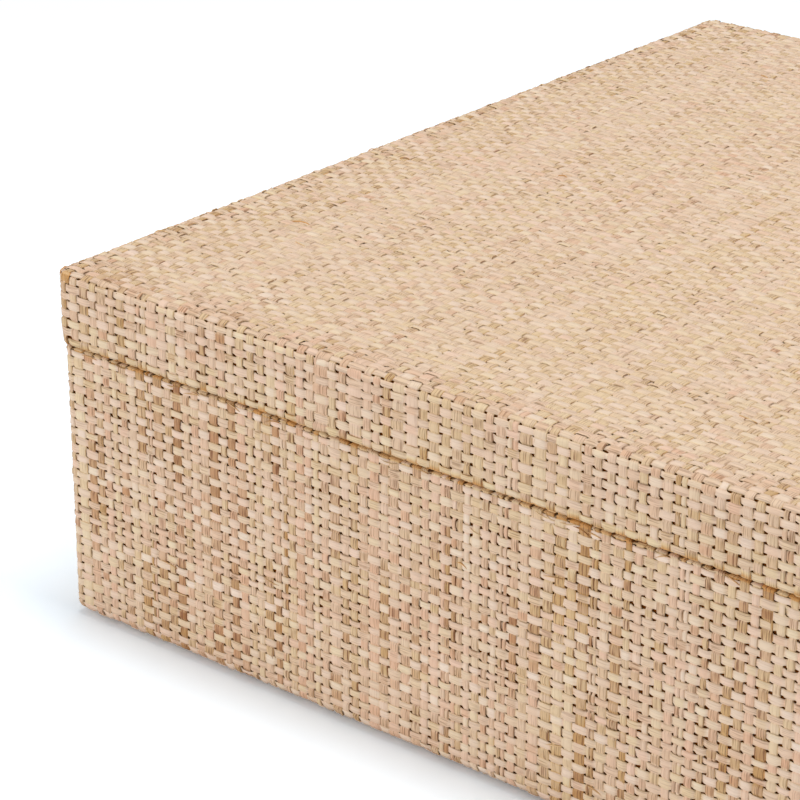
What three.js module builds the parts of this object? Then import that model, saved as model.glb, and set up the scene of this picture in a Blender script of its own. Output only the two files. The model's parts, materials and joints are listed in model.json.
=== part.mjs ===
// A low keepsake box of thin boards covered in woven raffia cloth, with a lift-off lid.
// Millimetres. +Z is up, the front faces -Y, and the origin is on the floor under the middle of the box.
import * as THREE from "three";

// Overall sizes, measured over the raffia cloth
const boxWidth = 400;
const boxDepth = 300;
const baseHeight = 78.5; // floor to the top of the base's rim
const lidHeight = 21.2; // lid's rim to the top of the lid
const lidOverhang = 1; // how far the lid stands out past the base on each side

// Thicknesses of the sheets that the box is made of
const clothThickness = 1.2;
const wallThickness = 6;
const floorThickness = 5;
const lidBoardThickness = 5;
const linerThickness = 2;
const floorLinerThickness = 2;
const lidLinerThickness = 1.4;
const feltThickness = 0.6;

// Fits between the pieces
const glueLine = 0.2; // between pieces that are glued together
const lidRestGap = 0.3; // between the lid's rim and the base's rim that it rests on
const neckClearance = 1; // between the neck of the base's liners and the lid's liners around it
const neckHeadroom = 5.5; // between the top of the neck and the liner of the lid's top
const floorLinerClearance = 0.3; // around the floor liner, which drops in
const lidLinerSetback = 0.6; // how far the lid's side liners stop above its rim

// Hems and rounded edges
const hemWidth = 14; // cloth turned under the base
const feltInset = 6; // felt's edge to the outside of the base
const cornerRadius = 3; // upright corners of the base
const footRadius = 3; // lower edge of the base
const rimRadius = 1.5; // upper edge of the base
const lidTopRadius = 2.5;
const lidRimRadius = 2;
const leastRadius = 0.3; // where a corner is all but sharp
const leastCloth = 0.3; // least cloth over a board's sharp edge
const arcSteps = 3; // half the straight steps in a quarter circle

// Places that follow from the sizes above. An inset is measured inwards from the outside of the cloth.
const boardInset = clothThickness + glueLine;
const linerInset = boardInset + wallThickness + glueLine;
const railThickness = wallThickness + lidOverhang - neckClearance - lidLinerThickness;
const lidLinerInset = boardInset + railThickness + glueLine;
const coverBottom = feltThickness + glueLine;
const boardBottom = coverBottom + boardInset;
const floorTop = boardBottom + floorThickness;
const wallTop = baseHeight - boardInset;
const lidBoardBottom = lidHeight - boardInset - lidBoardThickness;
const railTop = lidBoardBottom - glueLine;
const lidCeiling = railTop - lidLinerThickness;
const lidRimLevel = baseHeight + lidRestGap;
const neckTop = lidRimLevel + lidCeiling - neckHeadroom;

// Cloth lies over the boards' sharp edges, so an edge can be rounded only as far as the cloth allows,
// and a corner only as far as the thinner boards allow.
const mostEdgeRadius = (Math.SQRT2 * clothThickness - leastCloth) / (Math.SQRT2 - 1);
const mostCornerRadius = boardInset + Math.min(wallThickness, railThickness) / 2;
const edge = (radius) => Math.min(radius, mostEdgeRadius);
const corner = Math.min(cornerRadius, mostCornerRadius);

// Plan outlines of the base and of the lid, over the cloth
const baseOutline = { width: boxWidth, depth: boxDepth, radius: corner };
const lidOutline = {
  width: boxWidth + 2 * lidOverhang,
  depth: boxDepth + 2 * lidOverhang,
  radius: corner + lidOverhang,
};

const finishes = {
  raffia: { color: 0xd9bd98, roughness: 0.62, metalness: 0 },
  fibreboard: { color: 0xab8a60, roughness: 0.85, metalness: 0 },
  lining: { color: 0xe4d9c4, roughness: 0.9, metalness: 0 },
  card: { color: 0x9c8668, roughness: 0.9, metalness: 0 },
  felt: { color: 0x7d7264, roughness: 1, metalness: 0 },
};

function piece(name, geometry, finish) {
  const mesh = new THREE.Mesh(geometry, new THREE.MeshStandardMaterial(finishes[finish]));
  mesh.name = name;
  return mesh;
}

// The outline moved inwards, with its corners kept round.
function insetOutline(outline, inset) {
  return {
    width: outline.width - 2 * inset,
    depth: outline.depth - 2 * inset,
    radius: Math.max(outline.radius - inset, leastRadius),
  };
}

// Points counterclockwise around an outline, starting at its front right corner. Every outline has as many.
function planLoop({ width, depth, radius }) {
  const x = width / 2 - radius;
  const y = depth / 2 - radius;
  const loop = new THREE.Path();
  loop.absarc(x, -y, radius, -Math.PI / 2, 0);
  loop.absarc(x, y, radius, 0, Math.PI / 2);
  loop.absarc(-x, y, radius, Math.PI / 2, Math.PI);
  loop.absarc(-x, -y, radius, Math.PI, 1.5 * Math.PI);
  return loop.getPoints(arcSteps);
}

// Carries a profile around an outline. A profile's x is an inset from the outline and its y is a height.
// It runs up the outside, so that faces point out. A ring's profile closes on itself, and a cap's first and
// last loops are filled to a middle point instead.
function carriedAround(outline, profile, isCap) {
  const rows = profile.getPoints(arcSteps);
  const loops = rows.map((row) => planLoop(insetOutline(outline, row.x)));
  const count = loops[0].length;
  const points = rows.flatMap((row, j) => loops[j].flatMap((p) => [p.x, p.y, row.y]));
  const faces = [];
  const lastRow = rows.length - 1;
  const bands = isCap ? lastRow : rows.length;
  for (let j = 0; j < bands; j++) {
    const low = j * count;
    const high = ((j + 1) % rows.length) * count;
    for (let i = 0; i < count; i++) {
      const k = (i + 1) % count;
      faces.push(low + i, low + k, high + k, low + i, high + k, high + i);
    }
  }
  if (isCap) {
    const under = rows.length * count;
    const over = under + 1;
    points.push(0, 0, rows[0].y, 0, 0, rows[lastRow].y);
    for (let i = 0; i < count; i++) {
      const k = (i + 1) % count;
      faces.push(k, i, under);
      faces.push(lastRow * count + i, lastRow * count + k, over);
    }
  }
  const geometry = new THREE.BufferGeometry();
  geometry.setAttribute("position", new THREE.Float32BufferAttribute(points, 3));
  geometry.setIndex(faces);
  geometry.computeVertexNormals();
  return geometry;
}

// A flat sheet with square corners, centred on the box.
function flatSheet(name, outline, bottom, thickness, finish) {
  const sheet = piece(name, new THREE.BoxGeometry(outline.width, outline.depth, thickness), finish);
  sheet.position.z = bottom + thickness / 2;
  return sheet;
}

// A flat sheet with round corners, centred on the box.
function roundedSheet(name, outline, bottom, thickness, finish) {
  const shape = new THREE.Shape(planLoop(outline));
  const sheet = piece(
    name,
    new THREE.ExtrudeGeometry(shape, { depth: thickness, bevelEnabled: false }),
    finish,
  );
  sheet.position.z = bottom;
  return sheet;
}

// Plan of a front or back board: its outer face is on y = 0 and its two outer corners are round.
function endBoardPlan(width, thickness, radius) {
  const x = width / 2;
  const plan = new THREE.Shape();
  plan.moveTo(-x, thickness);
  plan.lineTo(-x, radius);
  plan.absarc(-x + radius, radius, radius, Math.PI, 1.5 * Math.PI);
  plan.absarc(x - radius, radius, radius, 1.5 * Math.PI, 2 * Math.PI);
  plan.lineTo(x, thickness);
  return plan;
}

// Four upright boards inside an outline. The front and back ones run the whole width, and the left and
// right ones stand between them.
function boardRing(nameOf, outline, thickness, bottom, top, finish) {
  const { width, depth, radius } = outline;
  const height = top - bottom;
  const endPlan = endBoardPlan(width, thickness, radius);
  const endBoard = (side) =>
    piece(
      nameOf(side),
      new THREE.ExtrudeGeometry(endPlan, { depth: height, bevelEnabled: false, curveSegments: 2 * arcSteps }),
      finish,
    );
  const front = endBoard("front");
  front.position.set(0, -depth / 2, bottom);
  const back = endBoard("back");
  back.position.set(0, depth / 2, bottom);
  back.rotation.z = Math.PI;
  const sideDepth = depth - 2 * (thickness + glueLine);
  const sideBoard = (side, direction) => {
    const board = piece(nameOf(side), new THREE.BoxGeometry(thickness, sideDepth, height), finish);
    board.position.set(direction * (width / 2 - thickness / 2), 0, bottom + height / 2);
    return board;
  };
  return [front, back, sideBoard("left", -1), sideBoard("right", 1)];
}

// One wrap of cloth around the base, turned in over the rim and under the floor.
function baseCover() {
  const foot = edge(footRadius);
  const rim = edge(rimRadius);
  const turnIn = boardInset + wallThickness;
  const profile = new THREE.Path();
  profile.moveTo(hemWidth, coverBottom);
  profile.lineTo(foot, coverBottom);
  profile.absarc(foot, coverBottom + foot, foot, -Math.PI / 2, -Math.PI, true);
  profile.lineTo(0, baseHeight - rim);
  profile.absarc(rim, baseHeight - rim, rim, Math.PI, Math.PI / 2, true);
  profile.lineTo(turnIn, baseHeight);
  profile.lineTo(turnIn, baseHeight - clothThickness);
  profile.lineTo(clothThickness, baseHeight - clothThickness);
  profile.lineTo(clothThickness, coverBottom + clothThickness);
  profile.lineTo(hemWidth, coverBottom + clothThickness);
  return piece("base_raffia_cover", carriedAround(baseOutline, profile, false), "raffia");
}

// One sheet of cloth over the lid, folded down its sides and turned in under the rails.
function lidCover() {
  const top = edge(lidTopRadius);
  const rim = edge(lidRimRadius);
  const turnIn = boardInset + railThickness;
  const profile = new THREE.Path();
  profile.moveTo(clothThickness, lidHeight - clothThickness);
  profile.lineTo(clothThickness, clothThickness);
  profile.lineTo(turnIn, clothThickness);
  profile.lineTo(turnIn, 0);
  profile.lineTo(rim, 0);
  profile.absarc(rim, rim, rim, -Math.PI / 2, -Math.PI, true);
  profile.lineTo(0, lidHeight - top);
  profile.absarc(top, lidHeight - top, top, Math.PI, Math.PI / 2, true);
  return piece("lid_raffia_cover", carriedAround(lidOutline, profile, true), "raffia");
}

function baseGroup() {
  const group = new THREE.Group();
  const walls = insetOutline(baseOutline, boardInset);
  const liners = insetOutline(baseOutline, linerInset);
  const floorLiner = insetOutline(baseOutline, linerInset + linerThickness + floorLinerClearance);
  const felt = insetOutline(baseOutline, feltInset);
  const infill = insetOutline(baseOutline, hemWidth + glueLine);
  group.add(
    flatSheet("underside_felt", felt, 0, feltThickness, "felt"),
    flatSheet("underside_infill_card", infill, coverBottom, clothThickness, "card"),
    flatSheet("base_floor_board", liners, boardBottom, floorThickness, "fibreboard"),
    ...boardRing((side) => `base_${side}_board`, walls, wallThickness, boardBottom, wallTop, "fibreboard"),
    baseCover(),
    ...boardRing((side) => `base_${side}_liner`, liners, linerThickness, floorTop + glueLine, neckTop, "lining"),
    flatSheet("base_floor_liner", floorLiner, floorTop + glueLine, floorLinerThickness, "lining"),
  );
  return group;
}

// The lid is built up from its own rim.
function lidGroup() {
  const group = new THREE.Group();
  const boards = insetOutline(lidOutline, boardInset);
  const liners = insetOutline(lidOutline, lidLinerInset);
  const sideLinerTop = lidCeiling - glueLine;
  group.add(
    lidCover(),
    roundedSheet("lid_top_board", boards, lidBoardBottom, lidBoardThickness, "fibreboard"),
    ...boardRing((side) => `lid_${side}_rail`, boards, railThickness, boardInset, railTop, "fibreboard"),
    flatSheet("lid_top_liner", liners, lidCeiling, lidLinerThickness, "lining"),
    ...boardRing(
      (side) => `lid_${side}_liner`,
      liners,
      lidLinerThickness,
      lidLinerSetback,
      sideLinerTop,
      "lining",
    ),
  );
  group.position.z = lidRimLevel;
  return group;
}

const box = new THREE.Group();
box.add(baseGroup(), lidGroup());

export default box;
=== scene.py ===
"""Dress a keepsake box in woven raffia, with linen inside, in a white studio.

Each strip of the cloth is laid over and under the ones that it crosses. Lengths are in millimetres until
a mesh is made. The frame is in metres, +Z up, with the front towards -Y.
"""

import json
import logging
import math
from dataclasses import dataclass, replace
from enum import Enum
from typing import Any

import bpy
import numpy as np
from mathutils import Matrix, Vector


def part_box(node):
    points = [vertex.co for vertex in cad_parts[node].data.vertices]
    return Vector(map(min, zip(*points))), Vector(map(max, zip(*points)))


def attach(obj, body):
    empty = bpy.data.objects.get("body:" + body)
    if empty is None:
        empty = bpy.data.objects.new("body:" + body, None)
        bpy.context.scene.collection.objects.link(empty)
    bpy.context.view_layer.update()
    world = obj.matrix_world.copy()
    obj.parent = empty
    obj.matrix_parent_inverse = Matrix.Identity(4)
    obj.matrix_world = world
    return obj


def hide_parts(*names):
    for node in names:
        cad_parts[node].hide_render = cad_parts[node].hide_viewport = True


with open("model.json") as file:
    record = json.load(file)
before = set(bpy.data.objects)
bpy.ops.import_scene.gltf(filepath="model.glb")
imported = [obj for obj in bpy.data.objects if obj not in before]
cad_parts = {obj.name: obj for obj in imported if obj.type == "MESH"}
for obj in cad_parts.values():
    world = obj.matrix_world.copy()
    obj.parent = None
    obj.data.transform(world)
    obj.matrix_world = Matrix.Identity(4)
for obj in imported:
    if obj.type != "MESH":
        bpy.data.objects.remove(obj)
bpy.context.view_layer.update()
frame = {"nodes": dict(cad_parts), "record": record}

LOG = logging.getLogger("woven_box")
MM = 0.001
QUARTER = math.pi / 2
STRIP_UV = "strip_uv"
CLOTH_UV = "cloth_uv"
BAKE_UV = "OFBake"
TONE = "strip_tone"
HUE = "strip_hue"
Array = np.ndarray
Socket = bpy.types.NodeSocket


# Helpers for colours, nodes and meshes


def linear(colour: str) -> tuple[float, float, float, float]:
    """Turn an sRGB hex colour into linear RGBA.

    Args:
        colour: six hex digits after a #.

    Returns:
        Linear red, green and blue, with an alpha of 1.
    """
    coded = [int(colour[i : i + 2], 16) / 255 for i in (1, 3, 5)]
    red, green, blue = (c / 12.92 if c <= 0.04045 else ((c + 0.055) / 1.055) ** 2.4 for c in coded)
    return red, green, blue, 1.0


def add_node(
    tree: bpy.types.NodeTree,
    kind: str,
    settings: dict[str, Any] | None = None,
    inputs: dict[str | int, Any] | None = None,
) -> bpy.types.Node:
    """Add a node to a tree, set it up and link it.

    Args:
        tree: the node tree to add to.
        kind: the node's type name, without the ShaderNode in front.
        settings: the node's own properties by name.
        inputs: values or output sockets by input name or number.

    Returns:
        The new node.
    """
    node = tree.nodes.new("ShaderNode" + kind)
    for name, value in (settings or {}).items():
        setattr(node, name, value)
    for key, value in (inputs or {}).items():
        if isinstance(value, bpy.types.NodeSocket):
            tree.links.new(value, node.inputs[key])
        else:
            node.inputs[key].default_value = value
    return node


def new_material(name: str) -> tuple[bpy.types.Material, bpy.types.NodeTree, bpy.types.Node]:
    """Make an empty node material.

    Args:
        name: the real material's name.

    Returns:
        The material, its tree and its output node.
    """
    material = bpy.data.materials.new(name)
    material.use_nodes = True
    tree = material.node_tree
    tree.nodes.clear()
    return material, tree, add_node(tree, "OutputMaterial")


def make_object(
    name: str,
    points: Array,
    quads: Array,
    uv_maps: dict[str, Array],
    attributes: dict[str, Array] | None = None,
    creases: Array | None = None,
) -> bpy.types.Object:
    """Put arrays into a smooth-shaded mesh object at the origin.

    Args:
        name: the piece's name.
        points: places in millimetres, one row each.
        quads: corner numbers, four to a face, counterclockwise from outside.
        uv_maps: one place per face corner, by map name.
        attributes: one number per point, by attribute name.
        creases: a number per point; edges between points with the same number, 0 or more, stay sharp.

    Returns:
        The linked object.
    """
    mesh = bpy.data.meshes.new(name)
    mesh.vertices.add(len(points))
    mesh.vertices.foreach_set("co", (points * MM).astype(np.float32).ravel())
    mesh.loops.add(quads.size)
    mesh.loops.foreach_set("vertex_index", quads.astype(np.int32).ravel())
    mesh.polygons.add(len(quads))
    mesh.polygons.foreach_set("loop_start", np.arange(0, quads.size, 4, dtype=np.int32))
    mesh.update(calc_edges=True)
    for map_name, places in uv_maps.items():
        layer = mesh.uv_layers.new(name=map_name)
        layer.data.foreach_set("uv", places.astype(np.float32).ravel())
    for key, values in (attributes or {}).items():
        mesh.attributes.new(key, "FLOAT", "POINT").data.foreach_set("value", values.astype(np.float32))
    if creases is not None:
        ends = np.empty(len(mesh.edges) * 2, np.int32)
        mesh.edges.foreach_get("vertices", ends)
        first, last = creases[ends.reshape(-1, 2)].T
        sharp = mesh.attributes.new("sharp_edge", "BOOLEAN", "EDGE")
        sharp.data.foreach_set("value", (first == last) & (first >= 0))
    piece = bpy.data.objects.new(name, mesh)
    bpy.context.scene.collection.objects.link(piece)
    return piece


def finish_piece(piece: bpy.types.Object, material: bpy.types.Material, body: str) -> None:
    """Dress a piece, let it ride on its body and report it.

    Args:
        piece: the new piece, already in place.
        material: its finish.
        body: the body that it moves with.
    """
    piece.data.materials.append(material)
    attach(piece, body)
    LOG.info("%s: %d faces on %s", piece.name, len(piece.data.polygons), body)


def smooth_step(share: Array) -> Array:
    """Rise from 0 to 1 with level ends as a share goes from 0 to 1."""
    held = np.clip(share, 0, 1)
    return held * held * (3 - 2 * held)


# Surfaces that cloth lies on


class Side(Enum):
    """The box's sides, counterclockwise from above: direction along the side and direction outwards."""

    FRONT = ((1, 0), (0, -1))
    RIGHT = ((0, 1), (1, 0))
    BACK = ((-1, 0), (0, 1))
    LEFT = ((0, -1), (-1, 0))


@dataclass(frozen=True)
class Profile:
    """A path in the plane of out and up, made of straight legs and arcs.

    It starts off heading outwards. Each leg is a length and the angle that it turns left, in radians.
    """

    start: tuple[float, float]
    legs: tuple[tuple[float, float], ...]

    @property
    def length(self) -> float:
        """Length of the whole path."""
        return sum(length for length, _ in self.legs)

    def at(self, distance: Array, lift: Array | float = 0.0) -> tuple[Array, Array]:
        """Find the places at some distances along the path, or beside it.

        A leg that has turned by twice h has a chord of run times sin(h) / h, h to the left of its start.
        The right of the path is the cloth's outside.

        Args:
            distance: distances from the start.
            lift: how far to the right of the path.

        Returns:
            How far out and how far up each place is.
        """
        out = np.full(np.shape(distance), float(self.start[0]))
        up = np.full(np.shape(distance), float(self.start[1]))
        heading, passed = np.zeros(np.shape(distance)), 0.0
        for length, turn in self.legs:
            run = np.clip(distance - passed, 0, length)
            half = turn * run / length / 2
            chord = run * np.sinc(half / math.pi)
            out = out + chord * np.cos(heading + half)
            up = up + chord * np.sin(heading + half)
            heading = heading + 2 * half
            passed += length
        return out + lift * np.sin(heading), up - lift * np.cos(heading)


class Surface:
    """A cloth surface with two coordinates in millimetres: u to the right and v up, seen from outside."""

    def point(self, u: Array, v: Array, lift: Array) -> Array:
        """Give the place of each u and v, lifted off the surface."""
        raise NotImplementedError

    def holds(self, u: Array, v: Array) -> Array:
        """Tell where cloth is, short of the mitres at the corners."""
        raise NotImplementedError


@dataclass(frozen=True)
class Wrap(Surface):
    """Cloth wrapped around an upright rounded rectangle, turned in at both ends of its profile.

    u runs counterclockwise from the middle of the front left corner, and v runs along the profile.
    """

    width: float
    depth: float
    corner: float
    profile: Profile

    @property
    def side_starts(self) -> Array:
        """Where each side starts along u, and where the last one ends. A side reaches to mid-corner."""
        lengths = [size - 2 * self.corner + self.corner * QUARTER for size in (self.width, self.depth) * 2]
        return np.concatenate(([0.0], np.cumsum(lengths)))

    def _on_side(self, u: Array) -> tuple[Array, Array, Array, Array]:
        """Find where places around the wrap lie on its sides.

        Args:
            u: distances around the wrap.

        Returns:
            Each place's side, its place on that side's straight, the angle that it has turned past the
            straight, and half of the straight's length.
        """
        starts = self.side_starts
        u = np.mod(u, starts[-1])
        side = np.clip(np.searchsorted(starts, u, side="right") - 1, 0, 3)
        half = (np.array([self.width, self.depth] * 2) / 2 - self.corner)[side]
        middle = u - (starts[side] + starts[side + 1]) / 2
        flat = np.clip(middle, -half, half)
        return side, flat, (middle - flat) / self.corner, half

    def point(self, u: Array, v: Array, lift: Array) -> Array:
        """Give places: the side's straight, then an arc about the corner's centre, drawn in by the profile.

        Args:
            u: distances around the wrap.
            v: distances along the profile.
            lift: heights over the surface.

        Returns:
            The places, with x, y and z on the last axis.
        """
        side, flat, turn, _ = self._on_side(u)
        out, up = self.profile.at(v, lift)
        reach = (np.array([self.depth, self.width] * 2) / 2 - self.corner)[side]
        along = flat + np.sin(turn) * (self.corner + out)
        outwards = reach + np.cos(turn) * (self.corner + out)
        ways = np.array([way.value for way in Side], float)[side]
        plan = along[..., None] * ways[..., 0, :] + outwards[..., None] * ways[..., 1, :]
        return np.concatenate([plan, up[..., None]], axis=-1)

    def holds(self, u: Array, v: Array) -> Array:
        """Tell where turned-in cloth stays outside the lines at 45 degrees from the corners."""
        _, flat, _, half = self._on_side(u)
        return -self.profile.at(v)[0] <= self.corner + half - np.abs(flat)


@dataclass(frozen=True)
class FoldedSheet(Surface):
    """A sheet laid over the lid, folded down its four sides and turned in under them.

    u and v are places on the flat sheet from its middle. The profile runs up from the turned-in edge to the
    flat top, so a strip that is past the top's edge follows it down. A flap is spread around its corners,
    over the fan's reach from each end of its edge.
    """

    width: float
    depth: float
    corner: float
    top_radius: float
    profile: Profile
    fan_reach: float = 24.0

    @property
    def half_width(self) -> float:
        """Half of the flat top along u."""
        return self.width / 2 - self.top_radius

    @property
    def half_depth(self) -> float:
        """Half of the flat top along v."""
        return self.depth / 2 - self.top_radius

    def _folded(self, u: Array, v: Array) -> tuple[Array, ...]:
        """Tell how places on the sheet lie to the top's nearest edge.

        Args:
            u: places across the sheet.
            v: places up the sheet.

        Returns:
            Whether the edge is a left or right one, the places along and across it, the distance past it,
            and half of the box along and across it.
        """
        past_u, past_v = np.abs(u) - self.half_width, np.abs(v) - self.half_depth
        sideways = past_u > past_v
        along, across = np.where(sideways, v, u), np.where(sideways, u, v)
        half_along = np.where(sideways, self.depth, self.width) / 2
        half_across = np.where(sideways, self.width, self.depth) / 2
        fold = np.clip(np.maximum(past_u, past_v), 0, None)
        return sideways, along, across, fold, half_along, half_across

    def _fanned(self, along: Array, half_along: Array) -> Array:
        """Spread places along an edge, so that the flap reaches half way around its corners.

        The last stretch of the edge is lengthened by a square law that starts level.

        Args:
            along: places along the edge.
            half_along: half of the box along it.

        Returns:
            The places along the flap.
        """
        edge = half_along - self.top_radius
        full = half_along - self.corner + self.corner * QUARTER / 2
        near = np.clip((np.abs(along) - edge + self.fan_reach) / self.fan_reach, 0, None)
        return along + np.sign(along) * (full - edge) * near**2

    def point(self, u: Array, v: Array, lift: Array) -> Array:
        """Give places: the flat top, and flaps that go from a straight edge to round corners as they fold.

        Args:
            u: places across the sheet.
            v: places up the sheet.
            lift: heights over the sheet.

        Returns:
            The places, with x, y and z on the last axis.
        """
        sideways, along, across, fold, half_along, half_across = self._folded(u, v)
        out, up = self.profile.at(self.profile.length - fold, lift)
        fanned = self._fanned(along, half_along)
        straight = half_along - self.corner
        flat = np.clip(fanned, -straight, straight)
        turn = (fanned - flat) / self.corner
        rounded = smooth_step(fold / (self.top_radius * QUARTER))
        round_along = flat + np.sin(turn) * (self.corner + out)
        round_across = half_across - self.corner + np.cos(turn) * (self.corner + out)
        to_side = along + (round_along - along) * rounded
        to_edge = half_across + out
        to_edge = to_edge + (round_across - to_edge) * rounded
        to_edge = np.where(fold > 0, to_edge, np.abs(across)) * np.sign(across)
        x, y = np.where(sideways, to_edge, to_side), np.where(sideways, to_side, to_edge)
        return np.stack([x, y, up], axis=-1)

    def holds(self, u: Array, v: Array) -> Array:
        """Tell where the turned-in edge stays outside the lines at 45 degrees from the corners.

        Args:
            u: places across the sheet.
            v: places up the sheet.

        Returns:
            Whether cloth is there.
        """
        _, along, _, fold, half_along, _ = self._folded(u, v)
        out, _ = self.profile.at(self.profile.length - fold)
        straight = half_along - self.corner
        flat = np.minimum(np.abs(self._fanned(along, half_along)), straight)
        return -out <= self.corner + straight - flat


# Woven strips


class Family(Enum):
    """Which way strips run on their surface."""

    ROW = "along u"
    UPRIGHT = "along v"


@dataclass(frozen=True)
class StripStyle:
    """How the strips of one family lie and look.

    Tones go from 0, brown, to 1, pale cream. Hues are pink above 0 and lemon below it, and turn to ochre
    past -3. A spread is the standard deviation of what chance adds, and a float is the stretch of a strip
    that lies on a crossing.

    Attributes:
        gap: how much narrower than their cells the strips are.
        crimp: how far they rise and sink at the crossings.
        tone: their mean tone.
        tone_spread: spread of tone from strip to strip.
        width_spread: spread of the widths' logarithm.
        pinch: share of the width that is lost between floats.
        hue_spread: spread of hue from strip to strip, and again from float to float.
        edge: how much darker the strips' edges are painted, as painted shade between the strips.
        shoulder: share of the half width where the flat top ends.
        brown_share: share of the strips with brown patches.
        brown_step: how much darker these patches are.
        patch_length: wavelength of the patches over two pi.
        patch_contrast: height of the wave that they come from.
        split_share: share of the strips that are split in two.
        split_width: width of each part, as a share of the strip's.
        split_apart: distance between the parts' middles, as a share of the strip's width.
        swing: height of each of the two waves that the strips swing by.
        swing_lengths: wavelengths of these over two pi.
        float_spread: spread of tone from float to float.
        float_swell: spread of width from float to float.
        float_bulge: how much wider an upper float is, and how much narrower a lower one.
        float_rise: spread of the crimp from float to float.
        float_shift: spread of place across the strip from float to float.
        float_roll: spread of slope across the strip from float to float.
    """

    gap: float
    crimp: float
    tone: float
    tone_spread: float
    width_spread: float
    pinch: float
    hue_spread: float
    edge: float
    shoulder: float
    brown_share: float = 0.0
    brown_step: float = 0.0
    patch_length: float = 9.0
    patch_contrast: float = 0.9
    split_share: float = 0.0
    split_width: float = 0.46
    split_apart: float = 0.54
    swing: float = 0.08
    swing_lengths: tuple[float, float] = (5.3, 13.7)
    float_spread: float = 0.075
    float_swell: float = 0.09
    float_bulge: float = 0.03
    float_rise: float = 0.14
    float_shift: float = 0.06
    float_roll: float = 0.1


@dataclass(frozen=True)
class SliverStyle:
    """How loose slivers lie and look. A pair is the least value and what chance adds to it at most.

    Attributes:
        half_length: half of the length.
        slope: how far the ends may lie apart across the strips.
        bend: how far the middle may lie from the ends.
        half_width: half of the width in the middle.
        blunt: how blunt the ends are: just above 1 is nearly pointed.
        height: height of the ends over the cloth's middle.
        arch: how much higher the middle stands.
        tone: the tone.
        hue: the hue.
        stations: how many stations a sliver has.
    """

    half_length: tuple[float, float] = (1.2, 1.8)
    slope: float = 1.6
    bend: float = 1.4
    half_width: float = 0.11
    blunt: float = 1.1
    height: float = 0.3
    arch: float = 0.18
    tone: tuple[float, float] = (0.45, 0.4)
    hue: tuple[float, float] = (-5.0, 3.0)
    stations: int = 6


@dataclass(frozen=True)
class Press:
    """How strips change where the cloth is pressed flat.

    Attributes:
        height: factor on their heights.
        half: factor on their widths.
        edge: factor on the painted shade at their edges.
        tone_pull: how far tones go towards their mean.
        hue_pull: how far hues go towards 0.
    """

    height: float
    half: float
    edge: float
    tone_pull: float = 0.5
    hue_pull: float = 0.35


@dataclass(frozen=True)
class TintAndShade:
    """A change of colour: how much darker the strips get, and how far their hue goes up. At the rims this
    is ochre staining with painted shade, and on the lid's top it is painted light.
    """

    tone: float
    hue: float


@dataclass(frozen=True)
class Cells:
    """Spaces side by side that strips lie in. A strip's number decides where it goes over and under."""

    edges: Array
    first: int = 0

    @classmethod
    def drawn(
        cls,
        rng: np.random.Generator,
        start: float,
        stop: float,
        pitch: float,
        spread: float,
        first: int = 0,
    ) -> "Cells":
        """Draw uneven cells that fill a stretch.

        Args:
            rng: source of chance.
            start: where the stretch starts.
            stop: where it ends.
            pitch: mean width of a cell.
            spread: standard deviation of the widths' logarithm.
            first: number of the first cell.

        Returns:
            The cells, scaled to fill the stretch.
        """
        count = max(round((stop - start) / pitch), 1)
        widths = rng.lognormal(0, spread, count)
        shares = np.concatenate(([0.0], np.cumsum(widths))) / widths.sum()
        return cls(start + (stop - start) * shares, first)

    @property
    def widths(self) -> Array:
        """Width of each cell."""
        return np.diff(self.edges)

    @property
    def centres(self) -> Array:
        """Middle of each cell."""
        return (self.edges[:-1] + self.edges[1:]) / 2

    @property
    def numbers(self) -> Array:
        """Number of each cell."""
        return self.first + np.arange(len(self.edges) - 1)

    def then(self, other: "Cells") -> "Cells":
        """Join cells that start where these end."""
        return Cells(np.concatenate([self.edges, other.edges[1:]]), self.first)


# A strip's section has a flat top between two edges, which are lower by its thickness. The edges are
# painted darker and lean to ochre: painted shade and warm bounce light between the strips
SECTION_DROP = np.array([1.0, 0.0, 0.0, 1.0])
STRIP_THICKNESS = 0.28
EDGE_SHADE_HUE = -2.4

# Brown patches lean to ochre, and elsewhere chance takes a strip's hue no lower than this
BROWN_HUE = -5.0
LOWEST_HUE = -2.2

# A float is level over this share of its crossing's width, each side of the middle
FLOAT_HALF = 0.31

# Ends that were turned in by hand go up to this far askew, from just before the fold and over this length
SLANT_MOST = 0.7
SLANT_BEFORE = 0.8
SLANT_LENGTH = 3.0

# Strips read the rib pattern this far apart, so that no two are alike
PATTERN_STEP = 7.3

# A strip's band on the bake map: its four sides across the band, and its two ends in the margins along it
BAKE_SIDES = np.array([[0.04, 0.22], [0.22, 0.60], [0.60, 0.78], [0.84, 0.95]])
BAKE_MARGIN = 0.02
BAKE_ENDS = (0.002, 0.984)
BAKE_END_ALONG = 0.014 * np.array([0.0, 0.0, 1.0, 1.0])
BAKE_END_ACROSS = np.array([0.1, 0.7, 0.7, 0.1])
BAKE_GIRTH = 2.4


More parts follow.
